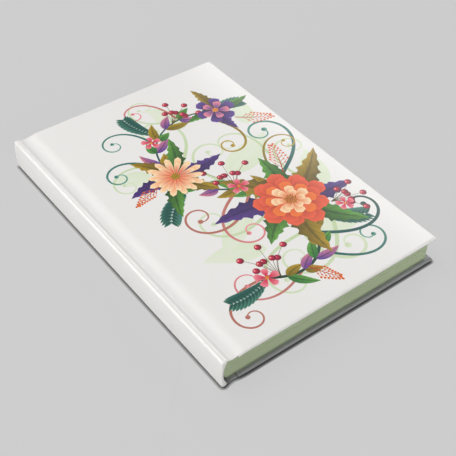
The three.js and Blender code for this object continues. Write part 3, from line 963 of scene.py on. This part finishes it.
def frond(start, heading, length, bend, inks):
    """A fern frond: a bent stalk with pairs of small leaves that shorten towards its tip."""
    line = midline(start, heading, length, bend, FROND_STEPS)
    stroke(line, 0.6, 0.2, inks)
    for i in range(2, FROND_STEPS - 1, 2):
        along = heading + bend * i / (FROND_STEPS - 1)
        reach = 0.30 * length * math.sin(math.pi * (1 - i / FROND_STEPS) ** 0.8) ** 0.7
        for side in (-1, 1):
            leaf(line[i], along + side * 52, reach, 0.16 * reach + 0.25, -side * 24, inks, fine=False)


def sprig(start, heading, length, inks):
    """A dotted sprig: a stalk with side twigs, and each of them forked and ended with dots."""
    line = midline(start, heading, length, SPRIG_BEND, SPRIG_STEPS)
    stroke(line, 0.8, 0.3, inks)
    for i in range(3, SPRIG_STEPS):
        side = 1 if i % 2 else -1
        along = heading + SPRIG_BEND * i / (SPRIG_STEPS - 1)
        reach = 0.36 * length * (1.15 - i / SPRIG_STEPS)
        twig = midline(line[i], along + side * 48, reach, -side * 25, 7)
        stroke(twig, 0.45, 0.2, inks)
        for k, radius in ((3, 0.6), (6, 0.8)):
            dot(twig[k] + (0, 0.5 * side), radius, inks)
    dot(line[-1], 0.9, inks)


def berries(start, heading, length, inks):
    """A spray of berries: thin stalks that fan out from one place, each with a berry at its end."""
    for i in range(BERRIES):
        spread = -46 + 92 * i / (BERRIES - 1)
        reach = length * (0.72 + 0.28 * math.cos(2.1 * i))
        line = midline(start, heading + spread * 0.4, reach, spread, 12)
        stroke(line, 0.35, 0.25, ("moss", "olive"))
        dot(line[-1], 2.3, inks)
        dot(line[-1] + (-0.75, 0.8), 0.55, ("cream", "pink"))


def rosette(place, radius, rings, heart):
    """A blossom of rings of petals, drawn from the outermost in, each ring turned by half a petal, and
    a heart of dots laid on a spiral."""
    for k, (count, share, broad, inks) in enumerate(rings):
        for i in range(count):
            heading = 360 * (i + 0.5 * (k % 2)) / count + 11 * k
            length = radius * share * (1 + 0.05 * math.cos(2.7 * i + k))
            toward = np.array([math.cos(math.radians(heading)), math.sin(math.radians(heading))])
            petal(place + toward * 0.06 * radius, heading - 4, length, broad * length, inks)
    for i in range(HEART_DOTS):
        away = 0.17 * radius * math.sqrt(i / HEART_DOTS)
        turn = math.radians(GOLDEN_ANGLE * i)
        dot(place + away * np.array([math.cos(turn), math.sin(turn)]), 0.034 * radius, heart)


def bezier(a, b, c, d):
    """The cubic curve from a to d, pulled towards b and then c."""
    t = np.linspace(0, 1, CURL_STEPS)[:, None]
    a, b, c, d = (np.array(p, float) for p in (a, b, c, d))
    return a * (1 - t) ** 3 + 3 * b * t * (1 - t) ** 2 + 3 * c * t ** 2 * (1 - t) + d * t ** 3


DAHLIA = np.array([22.0, -36.0])
DAISY = np.array([-22.0, 22.0])
ANEMONE = np.array([38.0, 62.0])
lower = bezier((-30, -78), (-6, -96), (22, -80), DAHLIA)
middle = bezier(DAHLIA, (24, -8), (-18, -14), DAISY)
upper = bezier(DAISY, (-28, 58), (6, 78), ANEMONE)
vine = np.concatenate([lower, middle[1:], upper[1:]])

for start, heading, length, width in (
    ((10, -62), -20, 46, 9), ((38, -40), 48, 42, 10), ((-16, -60), 150, 38, 8), ((6, 6), 12, 48, 10),
    ((-34, 30), 150, 26, 7), ((10, 58), 96, 34, 8), ((46, 38), 60, 30, 7), ((-4, -30), 200, 40, 8),
):
    leaf(start, heading, length, width, 24, ("sage", "pale", "pale"))
for start, heading, size, turn, width in (
    ((32, -62), 240, 110, -400, 2.6), ((6, -36), 200, 96, -420, 2.4), ((-22, 36), 150, 80, 420, 2.0),
    ((-16, 26), 40, 110, 430, 2.4), ((4, -8), 120, 100, -430, 2.4), ((38, 4), 80, 80, 440, 2.0),
    ((20, 66), 170, 92, -430, 1.8), ((11, -62), 180, 110, 420, 2.4), ((40, -24), 100, 86, -440, 2.0),
    ((14, -50), 250, 100, 400, 3.0),
):
    curl(start, heading, size, turn, width, ("celery", "sage"))
for start, heading, size, turn, width, inks in (
    ((-26, -78), 172, 92, 430, 2.0, ("rose", "rose")), ((-8, -84), 205, 96, -450, 1.7, ("rose", "pink")),
    ((8, -80), -50, 92, 450, 2.1, ("teal", "mint")), ((16, -67), -36, 104, 470, 2.6, ("teal", "pine")),
    ((34, -14), 30, 118, 440, 2.6, ("teal", "mint")), ((30, -6), 70, 78, -430, 1.7, ("olive", "gold")),
    ((2, -10), 205, 104, 440, 2.1, ("rose", "pink")), ((8, -14), 225, 112, -440, 2.3, ("rose", "rose")),
    ((-23, 30), 118, 84, 450, 2.0, ("teal", "mint")), ((-14, 50), 100, 84, 440, 1.8, ("teal", "mint")),
    ((12, 68), 96, 82, 450, 1.8, ("rose", "pink")), ((30, 56), -62, 84, -450, 2.1, ("olive", "gold")),
):
    curl(start, heading, size, turn, width, inks)
stroke(vine, 2.0, 1.0, ("pine", "teal"))
for start, heading, length, bend in (
    ((-30, -78), 206, 30, -40), ((-22, 8), 196, 34, 44), ((30, 60), 20, 30, -46), ((26, -52), -58, 34, 40),
    ((-8, 62), 128, 30, -40),
):
    frond(start, heading, length, bend, ("teal", "mint", "pine"))
for i in range(8, len(vine) - 10, 9):
    tangent = vine[i + 1] - vine[i]
    along = math.degrees(math.atan2(tangent[1], tangent[0]))
    for side in (-1, 1):
        pick = VINE_INKS[(i // 9 + (side > 0)) % 3]
        length = 15 + 4 * math.cos(1.7 * i + side)
        leaf(vine[i], along + side * 42, length, 3.1, -side * 30, pick)
for place, reach, first, leaves in (
    (DAHLIA, 47, 22, ("olive", "green", "olive", "purple", "green", "olive", "green", "purple")),
    (DAISY, 34, 50, ("green", "olive", "purple", "green", "olive", "purple")),
    (ANEMONE, 25, 80, ("olive", "green", "purple", "green")),
):
    for i, kind in enumerate(leaves):
        heading = first + 360 * i / len(leaves)
        length = reach * (1 + 0.12 * math.cos(2.3 * i))
        leaf(place, heading, length, 0.21 * reach, 26, LEAF_INKS[kind], lobes=7)
for start, heading, length in (
    ((34, -14), 58, 27), ((-34, 20), 190, 22), ((44, 48), -40, 24), ((-6, -84), -70, 20),
):
    sprig(start, heading, length, ("rust", "orange"))
for start, heading, length in (
    ((2, -10), 82, 26), ((6, 66), 40, 22), ((-23, -82), 88, 26), ((40, -52), -8, 22),
):
    berries(start, heading, length, ("crimson", "wine"))
coral_rings = (
    (9, 1.00, 0.34, ("rust", "coral", "wine")), (9, 0.84, 0.34, ("rust", "coral", "wine")),
    (8, 0.66, 0.36, ("coral", "orange", "rust")), (7, 0.50, 0.38, ("orange", "cream", "rust")),
    (6, 0.34, 0.42, ("orange", "cream", "rust")),
)
rosette(DAHLIA, 23.0, coral_rings, ("gold", "rust"))
daisy_rings = ((14, 1.00, 0.17, ("orange", "cream", "coral")), (13, 0.76, 0.19, ("coral", "cream", "rust")))
rosette(DAISY, 17.0, daisy_rings, ("gold", "olive"))
purple_rings = ((6, 1.00, 0.42, ("plum", "purple", "plum")), (5, 0.66, 0.44, ("purple", "pink", "plum")))
rosette(ANEMONE, 13.0, purple_rings, ("gold", "orange"))
for place, radius in (((-30, -78), 7.0), ((4, -8), 6.5), ((-16, 58), 6.0), ((46, -58), 5.5)):
    rosette(np.array(place), radius, ((5, 1.0, 0.46, ("crimson", "pink", "wine")),), ("gold", "orange"))

PRINT_MIDDLE = SPINE_X + (GROOVE_END + CASE_W) / 2


def print_mesh():
    """All films in one mesh, each a step higher than the one before, so that later ones lie on top, and
    the ink colour at each point."""
    tops, faces, inks, used = [], [], [], 0
    for order, (grid, colours) in enumerate(films):
        rows, columns = grid.shape[:2]
        height = np.full(rows * columns, CASE_T - PRINT_DEPTH + INK_T + order * INK_STEP)
        flat = grid.reshape(-1, 2) * MM
        tops.append(np.column_stack([flat[:, 0] + PRINT_MIDDLE, flat[:, 1], height]))
        index = np.arange(used, used + rows * columns).reshape(rows, columns)
        corners = [index[:-1, :-1], index[1:, :-1], index[1:, 1:], index[:-1, 1:]]
        quads = np.stack(corners, -1).reshape(-1, 4)
        corner = tops[-1][quads - used]
        span, rise = corner[:, 2] - corner[:, 0], corner[:, 3] - corner[:, 1]
        turned = (span[:, 0] * rise[:, 1] - span[:, 1] * rise[:, 0]).sum() < 0
        faces.append(quads[:, ::-1] if turned else quads)
        inks.append(np.clip(colours, 0, 1).reshape(-1, 3))
        used += rows * columns
    top = np.concatenate(tops)
    points, faces = thicken(top, top - (0, 0, INK_T), np.concatenate(faces))
    inks = np.concatenate(inks)
    return points, faces, np.concatenate([inks, inks])


points, faces, inks = print_mesh()
printed = laminate_material("printed_ink", COVER_WHITE)
nodes = printed.node_tree.nodes
ink_colour = nodes.new("ShaderNodeAttribute")
ink_colour.attribute_name = "Ink"
printed.node_tree.links.new(ink_colour.outputs["Color"], nodes["Principled BSDF"].inputs["Base Color"])
piece = make_piece("floral_print", points, faces, printed, smooth=False)
ink = piece.data.attributes.new("Ink", "FLOAT_COLOR", "POINT")
ink.data.foreach_set("color", np.column_stack([inks, np.ones(len(inks))]).astype(np.float32).ravel())
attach(piece, "front_cover")

size = [list(corner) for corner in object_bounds()]
